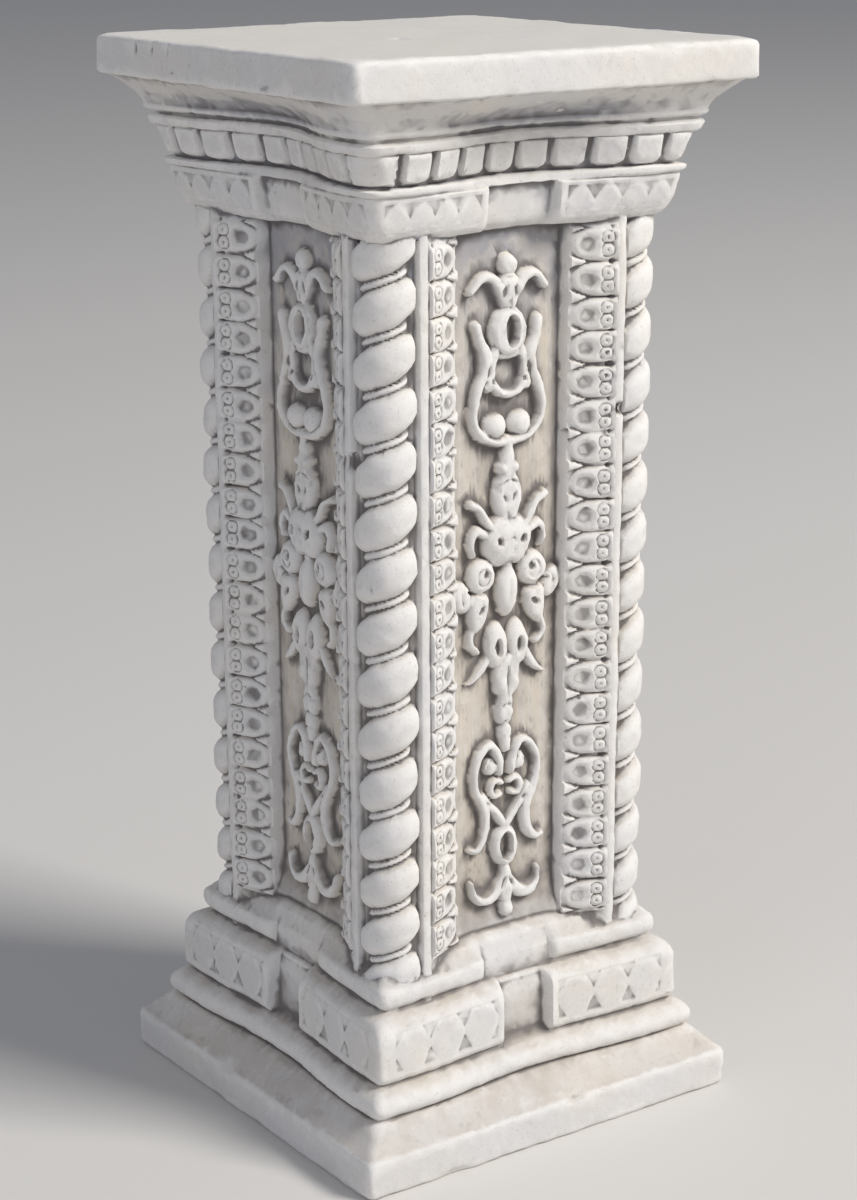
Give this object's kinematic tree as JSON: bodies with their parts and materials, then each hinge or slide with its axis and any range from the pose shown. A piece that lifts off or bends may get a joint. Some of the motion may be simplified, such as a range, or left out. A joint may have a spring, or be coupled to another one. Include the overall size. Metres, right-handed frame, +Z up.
{
  "type": "carved stone pillar",
  "caption": "Square stone pillar with stepped base, corner ropes, carved side panels and a moulded capital under a flat top slab.",
  "frame": {"origin": "middle of the underside", "axes": "+Z up along the pillar's axis, +X and +Y square to two neighbouring sides, and the lit side of the picture faces -Y"},
  "size_m": [0.33, 0.33, 0.765],
  "materials": {
    "stone": "matt cast stone, off-white, greyer in the carving"
  },
  "bodies": {
    "root": {"pillar": "stone"}
  },
  "joints": []
}
